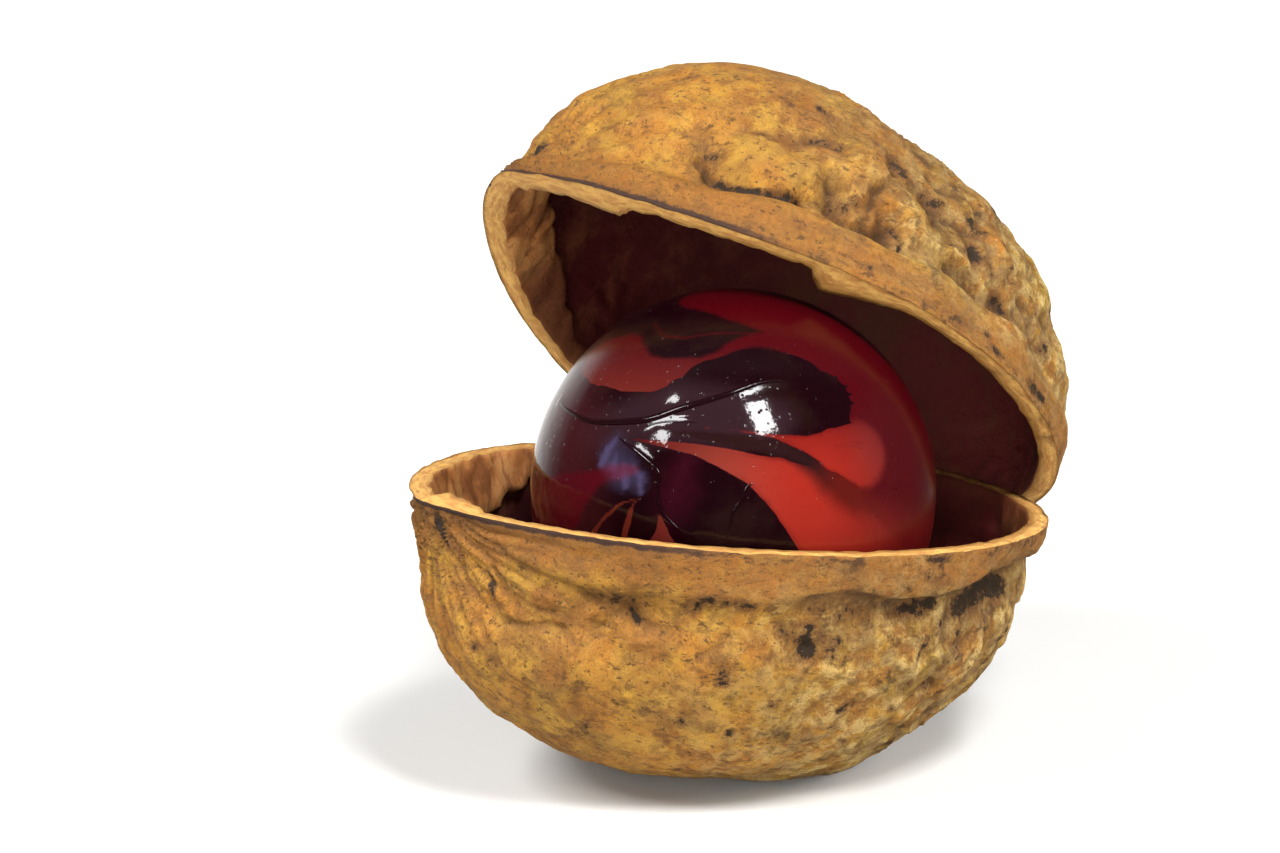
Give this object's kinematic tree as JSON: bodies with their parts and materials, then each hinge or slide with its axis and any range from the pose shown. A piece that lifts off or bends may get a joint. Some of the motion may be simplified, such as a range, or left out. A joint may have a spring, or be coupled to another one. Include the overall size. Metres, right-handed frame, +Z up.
{
  "type": "walnut shell with marble",
  "caption": "Walnut cracked into two gaping half shells, with a swirled glass marble held between them; stands on a small flat under the lower half.",
  "frame": {"origin": "middle of the footprint of the whole, on the surface it stands on", "axes": "+Z up; the open side and the marble face -Y, and the tips of both halves point towards -X; the nut's length is turned about 25 degrees from X"},
  "size_m": [0.0416, 0.0434, 0.0424],
  "materials": {
    "shell": "dry matt nutshell, ochre with brown and dark grey blotches, darker brown inside",
    "glass": "polished opaque glass, red bands swirled into near black"
  },
  "bodies": {
    "root": {"shell_lower": "shell", "shell_upper": "shell", "glass_marble": "glass"}
  },
  "joints": []
}
